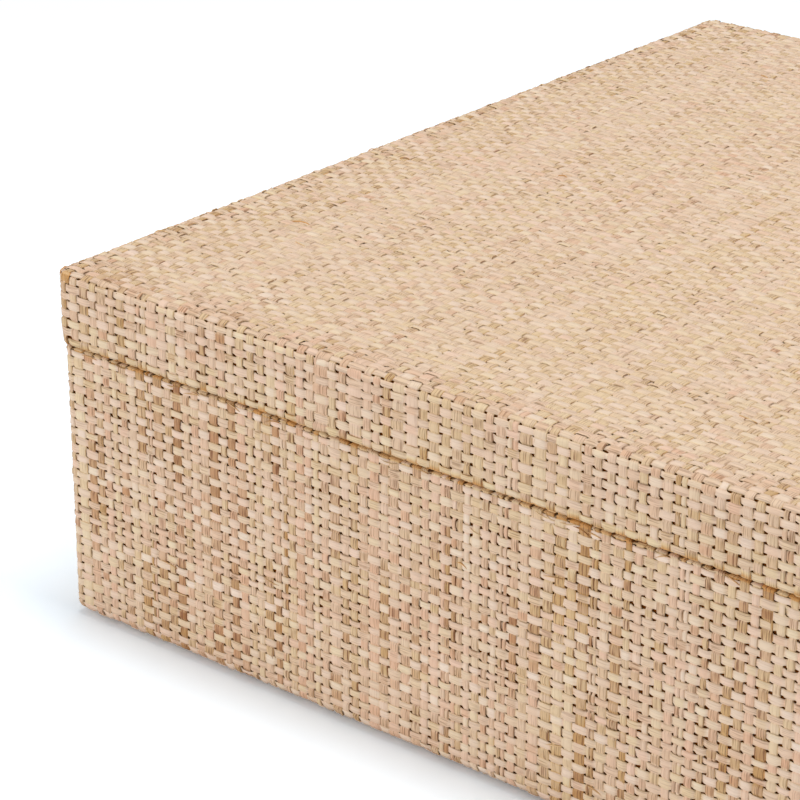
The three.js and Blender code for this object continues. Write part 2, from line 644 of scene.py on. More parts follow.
@dataclass
class Lay:
    """Strips as laid: one row of numbers per strip and one column per station along it.

    Attributes:
        along: place along the strip.
        across: place of its middle line across it.
        half: half of its width.
        height: height of its top over the cloth's middle.
        roll: slope of its top across it.
        tone: tone of its top.
        hue: hue of its top.
        edge: how much darker its edges are painted, as painted shade between the strips.
        numbers: the strips' numbers, one each.
        shoulder: share of the half width where the flat top ends.
    """

    along: Array
    across: Array
    half: Array
    height: Array
    roll: Array
    tone: Array
    hue: Array
    edge: Array
    numbers: Array
    shoulder: float = 0.84

    @classmethod
    def woven(
        cls, rng: np.random.Generator, strips: Cells, crossings: Cells, style: StripStyle, starts_over: bool
    ) -> "Lay":
        """Weave strips over and under crossing ones.

        A strip has a station at each edge between crossings, at the cloth's middle, and two on each
        crossing, raised where strip and crossing numbers add up to an odd or even sum, and else lowered.
        Some strips are split into two that lie side by side, and all swing slowly by two sine waves. Some
        are brown and ochre in patches, where a slow sine wave is high.

        Args:
            rng: source of chance.
            strips: the cells that the strips lie in.
            crossings: the cells of the strips that they cross.
            style: how the strips lie and look.
            starts_over: whether an even sum of numbers is over.

        Returns:
            The strips' stations.
        """
        split = rng.random(len(strips.numbers)) < style.split_share
        owner = np.repeat(np.arange(len(split)), 1 + split)
        is_part = split[owner]
        is_second = np.append(False, owner[1:] == owner[:-1])
        shape = (len(owner), len(crossings.numbers))
        wave = np.where((strips.numbers[owner][:, None] + crossings.numbers) % 2 == 0, 1.0, -1.0)
        wave = wave if starts_over else -wave
        edges, centres, widths = crossings.edges, crossings.centres, crossings.widths
        before, after = centres - FLOAT_HALF * widths, centres + FLOAT_HALF * widths
        along = np.append(np.stack([edges[:-1], before, after], 1).ravel(), edges[-1])

        def stations(at_edge: Array, at_float: Array) -> Array:
            """Interleave values at the edges with values at the crossings, twice each."""
            inner = np.stack([at_edge[:, :-1], at_float, at_float], 2).reshape(shape[0], -1)
            return np.concatenate([inner, at_edge[:, -1:]], 1)

        def chance(size: int | tuple[int, ...], spread: float) -> Array:
            """Draw numbers around 0 with a standard deviation."""
            return spread * rng.standard_normal(size)

        level = np.zeros((shape[0], shape[1] + 1))
        width = (strips.widths - style.gap)[owner]
        part = np.where(is_part, style.split_width, 1)
        half = width / 2 * np.exp(chance(shape[0], style.width_spread)) * part
        aside = np.where(is_part, (is_second - 0.5) * style.split_apart * width, 0)
        swell = 1 + chance(shape, style.float_swell) + style.float_bulge * wave
        turn = rng.uniform(0, 2 * math.pi, (2, shape[0], 1))
        quick, slow = style.swing_lengths
        swing = style.swing * (np.sin(along / quick + turn[0]) + np.sin(along / slow + turn[1]))
        rise = wave * style.crimp * (1 + chance(shape, style.float_rise))
        tone = style.tone + chance((shape[0], 1), style.tone_spread)
        patch = smooth_step(0.5 + style.patch_contrast * np.sin(along / style.patch_length + turn[1]))
        browning = style.brown_step * (rng.random((shape[0], 1)) < style.brown_share) * patch
        own_tone = chance(shape, style.float_spread)
        hue = np.maximum(chance((shape[0], 1), style.hue_spread), LOWEST_HUE)
        own_hue = np.maximum(hue + chance(shape, style.hue_spread), LOWEST_HUE)
        shift = stations(level, chance(shape, style.float_shift))
        return cls(
            along=along * np.ones((shape[0], 1)),
            across=(strips.centres[owner] + aside)[:, None] + swing + shift,
            half=half[:, None] * stations(level + 1 - style.pinch, swell),
            height=stations(level, rise),
            roll=stations(level, chance(shape, style.float_roll)),
            tone=tone - browning + stations(level, own_tone),
            hue=stations(level + hue, own_hue) + BROWN_HUE * browning,
            edge=np.full((shape[0], len(along)), style.edge),
            numbers=strips.numbers[owner] + 0.5 * is_second,
            shoulder=style.shoulder,
        )

    @classmethod
    def loose(
        cls, rng: np.random.Generator, along: Array, across: Array, style: SliverStyle = SliverStyle()
    ) -> "Lay":
        """Scatter thin slivers that have come off the strips and lie bent on the cloth.

        Each bends sideways by a square law and stands off the cloth as half a sine wave along its length.

        Args:
            rng: source of chance.
            along: where each sliver has its middle, along the strips.
            across: where it has its middle, across them.
            style: how the slivers lie and look.

        Returns:
            The slivers' stations.
        """
        shape = (len(along), style.stations)
        share = np.linspace(-1, 1, shape[1]) * np.ones(shape)
        length, slope, bend, tone = rng.uniform(0, 1, (4, shape[0], 1))
        sideways = style.slope * (slope - 0.5) * share + style.bend * (bend - 0.5) * share**2
        return cls(
            along=along[:, None] + share * (style.half_length[0] + style.half_length[1] * length),
            across=across[:, None] + sideways,
            half=style.half_width * (style.blunt - share**2),
            height=style.height + style.arch * np.cos(share * QUARTER),
            roll=np.zeros(shape),
            tone=style.tone[0] + style.tone[1] * tone + 0 * share,
            hue=style.hue[0] + style.hue[1] * bend + 0 * share,
            edge=np.zeros(shape),
            numbers=np.arange(shape[0]),
        )

    def cut(self, strips: slice | Array = slice(None), stations: slice = slice(None)) -> "Lay":
        """Take some of the strips, or a stretch of all of them.

        Args:
            strips: which strips are taken.
            stations: which of their stations are taken.

        Returns:
            The part that is taken.
        """
        names = ("along", "across", "half", "height", "roll", "tone", "hue", "edge")
        parts = {name: getattr(self, name)[strips, stations] for name in names}
        return replace(self, numbers=self.numbers[strips], **parts)

    def press(self, share: Array, press: Press) -> None:
        """Flatten and widen the strips, ease their edges, and calm their tones and hues.

        Args:
            share: how much of each change is taken, from 0 to 1.
            press: the changes.
        """
        self.height = self.height * (1 + (press.height - 1) * share)
        self.half = self.half * (1 + (press.half - 1) * share)
        self.edge = self.edge * (1 + (press.edge - 1) * share)
        self.tone = self.tone + press.tone_pull * (self.tone.mean() - self.tone) * share
        self.hue = self.hue * (1 - press.hue_pull * share)

    def tint_and_shade(self, share: Array, tint_and_shade: TintAndShade) -> None:
        """Change the strips' colour, where a share of 1 takes the whole change."""
        self.tone = self.tone - tint_and_shade.tone * share
        self.hue = self.hue + tint_and_shade.hue * share

    def slant(self, rng: np.random.Generator, past_fold: Array) -> None:
        """Draw each strip's end sideways, rising smoothly from just before a fold to the most past it.

        Args:
            rng: source of chance.
            past_fold: how far past the fold each station is.
        """
        most = rng.uniform(-SLANT_MOST, SLANT_MOST, (len(self.numbers), 1))
        self.across = self.across + most * smooth_step((past_fold + SLANT_BEFORE) / SLANT_LENGTH)

    def piece(self, name: str, surface: Surface, family: Family, plane: float) -> bpy.types.Object:
        """Make the strips into a mesh.

        Each station carries a section of four points, flat on top with lowered edges, which are painted
        darker and browner as shade and warm bounce light between the strips.
        Neighbouring sections are joined all round, the ends are closed, and what lies past a mitre is left
        out.

        Args:
            name: the piece's name.
            surface: what the strips lie on.
            family: which way they run.
            plane: height of the cloth's middle above the surface.

        Returns:
            The new object.
        """
        along = np.repeat(self.along[..., None], 4, axis=2)
        side = self.half[..., None] * np.array([-1.0, -self.shoulder, self.shoulder, 1.0])
        across = self.across[..., None] + side
        lift = plane + self.height[..., None] + side * self.roll[..., None] - STRIP_THICKNESS * SECTION_DROP
        is_row = family is Family.ROW
        u, v = (along, across) if is_row else (across, along)
        points = surface.point(u, v, lift).reshape(-1, 3)
        middle_along = (self.along[:, 1:] + self.along[:, :-1]) / 2
        middle_across = (self.across[:, 1:] + self.across[:, :-1]) / 2
        keep = surface.holds(*((middle_along, middle_across) if is_row else (middle_across, middle_along)))
        quads, bake = self._faces(keep)
        if not is_row:
            quads, bake = quads[:, ::-1], bake[:, ::-1]
        pattern = np.stack([along, side + PATTERN_STEP * self.numbers[:, None, None]], -1).reshape(-1, 2)
        # Painted shade: the edges' tone is darker and their hue leans to ochre, for the shade and warm
        # bounce light between the strips
        tone = (self.tone[..., None] - self.edge[..., None] * SECTION_DROP).ravel()
        hue = (self.hue[..., None] + EDGE_SHADE_HUE * SECTION_DROP).ravel()
        corner = np.tile(np.arange(4), self.along.size)
        used, quads = np.unique(quads, return_inverse=True)
        quads = quads.reshape(-1, 4)
        return make_object(
            name,
            points[used],
            quads,
            {STRIP_UV: pattern[used][quads], BAKE_UV: bake},
            {TONE: tone[used], HUE: hue[used]},
            creases=np.where(np.isin(corner, (0, 3)), corner, -1)[used],
        )

    def _faces(self, keep: Array) -> tuple[Array, Array]:
        """Join the stations' sections into faces, and lay the faces out side by side for baking.

        Strips lie in columns and rows of the bake map. In a strip's band its top comes first, then its
        underside, with the end faces in the margins.

        Args:
            keep: which stretches between stations are there.

        Returns:
            Corner numbers and bake places of the faces.
        """
        count, stations = self.along.shape
        number = np.arange(count * stations * 4).reshape(count, stations, 4)
        girth = BAKE_GIRTH * self.half.mean()
        columns = max(round(math.sqrt(count * girth / np.ptp(self.along[0]))), 1)
        rows = math.ceil(count / columns)

        def placed(strip: Array, share_along: Array, share_across: Array) -> Array:
            """Move places within a strip's band to the whole map."""
            column, row = strip // rows, strip % rows
            return np.stack([(column + share_along) / columns, (row + share_across) / rows], -1)

        strip, station = np.nonzero(keep)
        here, there = number[strip, station], number[strip, station + 1]
        step = (1 - 2 * BAKE_MARGIN) / (stations - 1)
        start, stop = BAKE_MARGIN + step * station, BAKE_MARGIN + step * (station + 1)
        along = np.stack([start, stop, stop, start], 1)
        quads, bake = [], []
        for m, (low, high) in enumerate(BAKE_SIDES):
            n = (m + 1) % 4
            quads.append(np.stack([here[:, m], there[:, m], there[:, n], here[:, n]], 1))
            bake.append(placed(strip[:, None], along, np.array([low, low, high, high])[None]))
        edge = np.zeros((count, 1), bool)
        before, after = np.hstack([edge, keep]), np.hstack([keep, edge])
        for is_end, order, margin in (
            (after & ~before, [0, 1, 2, 3], BAKE_ENDS[0]),
            (before & ~after, [3, 2, 1, 0], BAKE_ENDS[1]),
        ):
            ends = np.nonzero(is_end)
            quads.append(number[ends][:, order])
            bake.append(placed(ends[0][:, None], (margin + BAKE_END_ALONG)[None], BAKE_END_ACROSS[None]))
        return np.concatenate(quads), np.concatenate(bake)


# Shapes carried around an outline


# Where an outline is drawn in past its corners' centres, its corners keep this radius
LEAST_RADIUS = 0.2


def outline_loop(width: Array, depth: Array, radius: Array, steps: int = 6) -> Array:
    """Give points counterclockwise around rounded rectangles.

    Each corner is a quarter circle about a centre that lies its radius in from both sides.

    Args:
        width: widths of the rectangles, one per row.
        depth: their depths.
        radius: their corners' radii.
        steps: straight steps in a quarter circle.

    Returns:
        Points by row, place around and coordinate, from the front right corner.
    """
    angle = (np.arange(4)[:, None] - 1) * QUARTER + np.linspace(0, QUARTER, steps + 1)
    sign_x = np.repeat([1, 1, -1, -1], steps + 1)
    sign_y = np.repeat([-1, 1, 1, -1], steps + 1)
    width, depth, radius = (np.asarray(size, float)[:, None] for size in (width, depth, radius))
    x = sign_x * (width / 2 - radius) + radius * np.cos(angle.ravel())
    y = sign_y * (depth / 2 - radius) + radius * np.sin(angle.ravel())
    return np.stack([x, y], -1)


def carried(
    name: str, size: tuple[float, float], corner: float, inset: Array, height: Array, is_ring: bool
) -> bpy.types.Object:
    """Carry a profile around a rounded rectangle, and close it.

    Row j of points is the outline drawn in by inset j at height j. A ring's last row meets its first, and
    otherwise the first and last rows are filled with faces from one half of the outline to the other.

    Args:
        name: the piece's name.
        size: width and depth of the outline.
        corner: radius of its corners.
        inset: how far each row is drawn in, running up the outside.
        height: height of each row.
        is_ring: whether the profile closes on itself.

    Returns:
        The new object, with a cloth map in millimetres.
    """
    radius = np.maximum(corner - inset, LEAST_RADIUS)
    loops = outline_loop(size[0] - 2 * inset, size[1] - 2 * inset, radius)
    rows, count = loops.shape[:2]
    points = np.concatenate([loops, np.broadcast_to(height[:, None, None], (rows, count, 1))], -1)
    number = np.arange(rows * count).reshape(rows, count)
    low = number if is_ring else number[:-1]
    high = np.roll(number, -1, 0) if is_ring else number[1:]
    walls = np.stack([low, np.roll(low, -1, 1), np.roll(high, -1, 1), high], -1).reshape(-1, 4)
    faces = [walls]
    if not is_ring:
        near = np.arange(count // 2 - 1)
        far = count - 1 - near
        ladder = np.stack([near, near + 1, far - 1, far], 1)
        faces += [number[0][ladder[:, ::-1]], number[-1][ladder]]
    quads = np.concatenate(faces)
    flat = points.reshape(-1, 3)
    places = flat[:, :2] + flat[:, 2:]
    return make_object(name, flat, quads, {CLOTH_UV: places[quads]})


# Finishes


@dataclass(frozen=True)
class Raffia:
    """Raffia palm leaf, dried and split into ribbons.

    Attributes:
        name: the material's name.
        brown: colour of tone 0.
        tan: colour of the tone tan_at.
        cream: colour of the tone cream_at.
        pale: colour of tone 1.
        rib: colour of the leaf's ribs.
        pink: filter at a hue of 3.
        lemon: filter at a hue of -3.
        ochre: colour at a hue of -6.
        tan_at: the tone that is tan.
        cream_at: the tone that is cream.
        rib_spacing: distance between ribs.
        rib_length: distance over which a rib comes and goes.
        rib_relief: how far the ribs stand out.
        rib_lines: noise values where a rib starts to show and where it shows fully.
        rib_tones: tones between which the ribs get fainter.
        rib_depths: how strong the ribs are at these tones.
        gloss_noise: noise values between which the roughness changes.
        roughness: roughness at these values.
    """

    name: str = "raffia_palm_leaf"
    brown: str = "#9c6030"
    tan: str = "#c9a075"
    cream: str = "#e3c5a8"
    pale: str = "#f1ddcb"
    rib: str = "#75421c"
    pink: str = "#fff0ea"
    lemon: str = "#fdffe8"
    ochre: str = "#d09650"
    tan_at: float = 0.35
    cream_at: float = 0.68
    rib_spacing: float = 0.34
    rib_length: float = 9.0
    rib_relief: float = 0.12
    rib_lines: tuple[float, float] = (0.5, 0.66)
    rib_tones: tuple[float, float] = (0.5, 0.8)
    rib_depths: tuple[float, float] = (0.85, 0.14)
    gloss_noise: tuple[float, float] = (0.3, 0.7)
    roughness: tuple[float, float] = (0.47, 0.67)

    def material(self) -> bpy.types.Material:
        """Make the node material from the strips' tone, hue and map.

        Returns:
            The material.
        """
        material, tree, output = new_material(self.name)
        place = add_node(tree, "UVMap", {"uv_map": STRIP_UV})
        tone = add_node(tree, "Attribute", {"attribute_name": TONE}).outputs["Fac"]
        hue = add_node(tree, "Attribute", {"attribute_name": HUE}).outputs["Fac"]
        scale = (1 / self.rib_length, 1 / self.rib_spacing, 1)
        stretched = add_node(tree, "Mapping", inputs={"Vector": place.outputs["UV"], "Scale": scale})
        ribs = add_node(
            tree,
            "TexNoise",
            {"noise_dimensions": "2D"},
            {"Vector": stretched.outputs["Vector"], "Scale": 1.0, "Detail": 2.0, "Roughness": 0.6},
        ).outputs["Fac"]
        ramp = add_node(tree, "ValToRGB", inputs={"Fac": tone})
        stops = ramp.color_ramp.elements
        stops[0].color, stops[1].color = linear(self.brown), linear(self.pale)
        for place_on_ramp, colour in ((self.tan_at, self.tan), (self.cream_at, self.cream)):
            stops.new(place_on_ramp).color = linear(colour)
        tinted = self._tinted(tree, ramp.outputs["Color"], hue)
        # Map Range takes the value as input 0, its range as 1 and 2, and the new range as 3 and 4
        start, full = self.rib_lines
        line = add_node(tree, "MapRange", inputs={0: ribs, 1: start, 2: full, 3: 0.0, 4: 1.0}).outputs[0]
        (dark, light), (strong, faint) = self.rib_tones, self.rib_depths
        depth = add_node(tree, "MapRange", inputs={0: tone, 1: dark, 2: light, 3: strong, 4: faint})
        factors = {0: line, 1: depth.outputs[0]}
        share = add_node(tree, "Math", {"operation": "MULTIPLY"}, factors).outputs[0]
        ribbed = add_node(
            tree,
            "Mix",
            {"data_type": "RGBA"},
            {"Factor": share, "A": tinted, "B": linear(self.rib)},
        )
        (low, high), (smooth, rough) = self.gloss_noise, self.roughness
        roughness = add_node(tree, "MapRange", inputs={0: ribs, 1: low, 2: high, 3: smooth, 4: rough})
        relief = self.rib_relief * MM
        bump = add_node(tree, "Bump", inputs={"Height": ribs, "Strength": 0.4, "Distance": relief})
        shader = add_node(
            tree,
            "BsdfPrincipled",
            inputs={
                "Base Color": ribbed.outputs["Result"],
                "Roughness": roughness.outputs[0],
                "Normal": bump.outputs["Normal"],
                "IOR": 1.47,
            },
        )
        tree.links.new(shader.outputs[0], output.inputs["Surface"])
        return material

    def _tinted(self, tree: bpy.types.NodeTree, colour: Socket, hue: Socket) -> Socket:
        """Filter a colour by pink at hues above 0 and by lemon below it, and turn it to ochre past -3.

        Args:
            tree: the tree to add to.
            colour: the colour's socket.
            hue: the hue's socket.

        Returns:
            The tinted colour's socket.
        """
        for tint, blend, first, last in (
            (self.pink, "MULTIPLY", 0.0, 3.0),
            (self.lemon, "MULTIPLY", 0.0, -3.0),
            (self.ochre, "MIX", -3.0, -6.0),
        ):
            share = add_node(tree, "MapRange", inputs={0: hue, 1: first, 2: last, 3: 0.0, 4: 1.0})
            colour = add_node(
                tree,
                "Mix",
                {"data_type": "RGBA", "blend_type": blend},
                {"Factor": share.outputs[0], "A": colour, "B": linear(tint)},
            ).outputs["Result"]
        return colour


@dataclass(frozen=True)
class Fibrous:
    """A matte sheet of pressed or woven fibres: two close colours in blotches, over a fine bumpy grain.

    Attributes:
        name: the material's name.
        dark: colour of the hollows.
        light: colour of the fibres on top.
        grain: size of the blotches.
        roughness: roughness of the surface.
        relief: how far the grain stands out.
        thread: distance between threads, or 0 where none show.
        sheen: how much light loose fibres catch at a low angle.
        gloss: strength of the reflection.
        blotches: heights at which the two colours are full.
    """

    name: str
    dark: str
    light: str
    grain: float
    roughness: float
    relief: float
    thread: float = 0.0
    sheen: float = 0.15
    gloss: float = 0.5
    blotches: tuple[float, float] = (0.25, 0.75)

    def material(self) -> bpy.types.Material:
        """Make the node material from Object coordinates, or from the cloth map where threads show.

        Returns:
            The material.
        """
        material, tree, output = new_material(self.name)
        place = add_node(tree, "TexCoord").outputs["Object"]
        grain = add_node(
            tree,
            "TexNoise",
            inputs={"Vector": place, "Scale": 1 / (self.grain * MM), "Detail": 4.0, "Roughness": 0.6},
        ).outputs["Fac"]
        height = self._threads(tree, grain) if self.thread else grain
        low, high = self.blotches
        share = add_node(tree, "MapRange", inputs={0: height, 1: low, 2: high, 3: 0.0, 4: 1.0})
        colour = add_node(
            tree,
            "Mix",
            {"data_type": "RGBA"},
            {"Factor": share.outputs[0], "A": linear(self.dark), "B": linear(self.light)},
        )
        relief = self.relief * MM
        bump = add_node(tree, "Bump", inputs={"Height": height, "Strength": 0.6, "Distance": relief})
        shader = add_node(
            tree,
            "BsdfPrincipled",
            inputs={
                "Base Color": colour.outputs["Result"],
                "Roughness": self.roughness,
                "Normal": bump.outputs["Normal"],
                "Sheen Weight": self.sheen,
                "Specular IOR Level": self.gloss,
            },
        )
        tree.links.new(shader.outputs[0], output.inputs["Surface"])
        return material

    def _threads(self, tree: bpy.types.NodeTree, grain: Socket) -> Socket:
        """Cross two sets of threads, uneven by the grain. A wave's period is a tenth of pi over its scale.

        Args:
            tree: the tree to add to.
            grain: the grain's socket.

        Returns:
            The socket of the mean of the grain and both waves.
        """
        place = add_node(tree, "UVMap", {"uv_map": CLOTH_UV}).outputs["UV"]
        total = grain
        for direction in ("X", "Y"):
            wave = add_node(
                tree,
                "TexWave",
                {"bands_direction": direction},
                {
                    "Vector": place,
                    "Scale": math.pi / 10 / self.thread,
                    "Distortion": 1.2,
                    "Detail": 2.0,
                    "Detail Scale": 0.35,
                },
            ).outputs["Fac"]
            total = add_node(tree, "Math", {"operation": "ADD"}, {0: total, 1: wave}).outputs[0]
        return add_node(tree, "Math", {"operation": "DIVIDE"}, {0: total, 1: 3.0}).outputs[0]


# Split leaf: cream ribbons with fine brown ribs along them, tan and ochre patches, and a faint waxy gloss
RAFFIA = Raffia()
# Plain-woven flax: an even, pale, matte cloth. Its threads are half a millimetre apart, and are drawn
# coarser so that they show in the render
LINEN = Fibrous("linen_lining", "#c8baa0", "#efe7d6", 5.0, 0.9, 0.15, thread=1.1)
# Pressed wood fibres: matte tan, mottled, with no direction
FIBREBOARD = Fibrous("wood_fibreboard", "#8d6d45", "#bb9a6d", 1.6, 0.85, 0.1)
# Rolled paper pulp: flat and dull, with faint flecks
CARD = Fibrous("grey_brown_card", "#8a7558", "#ab9676", 0.9, 0.9, 0.05)
# Matted wool: soft and cloudy, with no shine
FELT = Fibrous("taupe_wool_felt", "#5f5547", "#9a8f7e", 2.6, 1.0, 0.3)
# Cotton backing, drawn very dark brown: partly its own glue-stained colour, partly painted shade in the
# holes of the weave
SCRIM = Fibrous("cotton_scrim_with_painted_shade", "#5e2f0a", "#804612", 0.6, 1.0, 0.1, sheen=0.0, gloss=0.05)


# Sub-assemblies of the box


@dataclass(frozen=True)
class Weave:
    """One cloth: its pitches, how uneven they are, how its two families of strips look and where it lies.

    The plane is the height of the cloth's middle over the cover's outside.
    """

    upright_pitch: float
    row_pitch: float
    upright_spread: float
    row_spread: float
    upright: StripStyle
    row: StripStyle
    plane: float = -0.42


@dataclass
class BaseCover:
    """The raffia cloth around the base, on a brown scrim.

    The wall's rows end on the rim. There the uprights loop over a core strip that runs around the box, and
    slivers that have frayed from them lie along the seam.

    Attributes:
        weave: the cloth.
        corner: radius of the upright corners.
        foot: radius of the edge at the floor.
        rim: radius of the scrim's top edge.
        cloth_rim: tighter radius of the strips' top edge.
        hem: how far the cloth is turned in under the floor.
        shown_hem: how much of that has rows, from the outside in.
        rim_turn_in: how far the cloth is turned in over the rim.
        lip: how far along the turn the wall's rows end.
        bare_rim: width of the band beyond them, which only the core strip and the loops fill.
        loop_height: how much higher the uprights lie on that band.
        loop_width: factor on their width there.
        core_height: height of the core strip.
        core_tone: change of its tone: darker, as painted shade in the seam under the lid.
        tint_and_shade: how the strips on the rim change colour: ochre, as glue has stained them, and
            darker, as painted shade of the seam under the lid.
        tint_and_shade_reach: how far this goes down the wall from the rows' end.
        tint_and_shade_fade: where the ochre and the painted shade start to fade beyond it, and over what
            length.
        tint_and_shade_loss: how much of it fades.
        tint_and_shade_patches: least and most of it that chance leaves.
        slivers: how many loose slivers lie on the wall.
        sliver_margin: how far these keep from the foot and the rim.
        frays: how many slivers lie along the seam.
        fray_reach: where these lie, from the rows' end.
        scrim: heights of the scrim's outer and inner face.
        scrim_steps: how many rows of points each face has.
        side_gap: how far short of the corner's middle a side's rows end.
        seed: seed of all chance.
    """

    weave: Weave
    corner: float = 3.0
    foot: float = 3.0
    rim: float = 1.5
    cloth_rim: float = 1.0
    hem: float = 14.0
    shown_hem: float = 8.5
    rim_turn_in: float = 7.4
    lip: float = -0.25
    bare_rim: float = 2.45
    loop_height: float = 0.28
    loop_width: float = 1.18
    core_height: float = -0.15
    core_tone: float = -0.18
    tint_and_shade: TintAndShade = TintAndShade(0.08, -4.2)
    tint_and_shade_reach: float = 0.2
    tint_and_shade_fade: tuple[float, float] = (1.2, 2.2)
    tint_and_shade_loss: float = 0.75
    tint_and_shade_patches: tuple[float, float] = (0.4, 1.3)
    slivers: int = 60
    sliver_margin: float = 4.0
    frays: int = 140
    fray_reach: tuple[float, float] = (-1.0, 0.2)
    scrim: tuple[float, float] = (-1.05, -1.2)
    scrim_steps: int = 120
    side_gap: float = 1e-6
    seed: int = 11

    def __post_init__(self) -> None:
        """Work out the strips' surface from the base cover's box."""
        low, high = (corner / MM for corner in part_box("base_raffia_cover"))
        self.bottom, self.top = low.z, high.z
        self.surface = Wrap(high.x - low.x, high.y - low.y, self.corner, self._profile(self.cloth_rim))

    def _profile(self, rim: float) -> Profile:
        """Give the path from the hem around the foot, up the side and in over the rim.

        Args:
            rim: radius of the rim.

        Returns:
            The path.
        """
        return Profile(
            (-self.hem, self.bottom),
            (
                (self.hem - self.foot, 0.0),
                (self.foot * QUARTER, QUARTER),
                (self.top - self.bottom - self.foot - rim, 0.0),
                (rim * QUARTER, QUARTER),
                (self.rim_turn_in - rim, 0.0),
            ),
        )

    def build(self, raffia: bpy.types.Material, scrim: bpy.types.Material) -> None:
        """Weave the cloth, one piece for each family on each side, with its slivers, over its scrim.

        Args:
            raffia: finish of the strips.
            scrim: finish of the backing.
        """
        rng = np.random.default_rng(self.seed)
        weave, surface = self.weave, self.surface
        starts, length = surface.side_starts, surface.profile.length
        sides: list[Cells] = []
        for start, stop in zip(starts[:-1], starts[1:]):
            first = sides[-1].numbers[-1] + 1 if sides else 0
            sides.append(Cells.drawn(rng, start, stop, weave.upright_pitch, weave.upright_spread, first))
        around = sides[0].then(sides[1]).then(sides[2]).then(sides[3])
        fold = length - self.rim_turn_in + self.lip
        uprights, rows = self._woven(rng, around, fold)
        pieces = []
        for side, cells in zip(Side, sides):
            where = side.name.lower()
            first, last = cells.numbers[0], cells.numbers[-1] + 1
            lay = uprights.cut(strips=(uprights.numbers >= first) & (uprights.numbers < last))
            pieces.append(lay.piece(f"base_{where}_uprights", surface, Family.UPRIGHT, weave.plane))
            lay = rows.cut(stations=slice(3 * first, 3 * last + 1))
            # A last station at the middle of the corner would be taken for the next side's first
            lay.along[:, -1] -= self.side_gap
            pieces.append(lay.piece(f"base_{where}_rows", surface, Family.ROW, weave.plane))
        lowest, highest = self.hem + self.sliver_margin, length - self.rim_turn_in - self.sliver_margin
        on_wall = rng.uniform(lowest, highest, self.slivers)
        across = np.append(on_wall, fold + rng.uniform(*self.fray_reach, self.frays))
        lay = Lay.loose(rng, rng.uniform(0, starts[-1], len(across)), across)
        pieces.append(lay.piece("base_loose_slivers", surface, Family.ROW, weave.plane))
        for piece in pieces:
            finish_piece(piece, raffia, "base")
        self._build_scrim(scrim)

    def _woven(self, rng: np.random.Generator, around: Cells, fold: float) -> tuple[Lay, Lay]:
        """Weave the wall and the turned-in edge, with loops over the core strip between them.

        Args:
            rng: source of chance.
            around: the uprights' cells.
            fold: where the wall's rows end.

        Returns:
            The uprights and the rows.
        """
        weave, pitch, spread = self.weave, self.weave.row_pitch, self.weave.row_spread
        bare = fold + self.bare_rim
        wall = Cells.drawn(rng, self.hem - self.shown_hem, fold, pitch, spread)
        turned_in = Cells.drawn(rng, bare, self.surface.profile.length, pitch, spread)
        up = wall.then(Cells(np.array([fold, bare]))).then(turned_in)
        uprights = Lay.woven(rng, around, up, weave.upright, starts_over=False)
        on_rim = (uprights.along > fold) & (uprights.along < bare)
        uprights.height = np.where(on_rim, np.abs(uprights.height) + self.loop_height, uprights.height)
        uprights.half = np.where(on_rim, self.loop_width * uprights.half, uprights.half)
        rows = Lay.woven(rng, up, around, weave.row, starts_over=True)
        is_core = rows.numbers == len(wall.numbers)
        rows.height[is_core] = self.core_height
        # Painted shade: the core strip in the seam is drawn darker
        rows.tone[is_core] += self.core_tone
        uprights.slant(rng, uprights.along - fold)
        # The rim's strips turn ochre where glue has stained them, and darker as painted shade of the seam
        # under the lid; both fade inside the rim
        start, length = self.tint_and_shade_fade
        for lay, past_fold in ((uprights, uprights.along - fold), (rows, rows.across - fold)):
            left_over = 1 - self.tint_and_shade_loss * smooth_step((past_fold - start) / length)
            share = (past_fold > -self.tint_and_shade_reach) * left_over
            lay.tint_and_shade(share * rng.uniform(*self.tint_and_shade_patches, share.shape), self.tint_and_shade)
        return uprights, rows

    def _build_scrim(self, material: bpy.types.Material) -> bpy.types.Object:
        """Make the thin backing under the strips, as a ring of two offset profiles.

        Args:
            material: its finish.

        Returns:
            The new object.
        """
        profile = self._profile(self.rim)
        distance = np.append(0.0, np.linspace(self.hem - self.foot, profile.length, self.scrim_steps))
        outer_out, outer_up = profile.at(distance, self.scrim[0])
        inner_out, inner_up = profile.at(distance[::-1], self.scrim[1])
        piece = carried(
            "base_cloth_scrim",
            (self.surface.width, self.surface.depth),
            self.corner,
            -np.concatenate([outer_out, inner_out]),
            np.concatenate([outer_up, inner_up]),
            is_ring=True,
        )
        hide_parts("base_raffia_cover")
        finish_piece(piece, material, "base")
        return piece


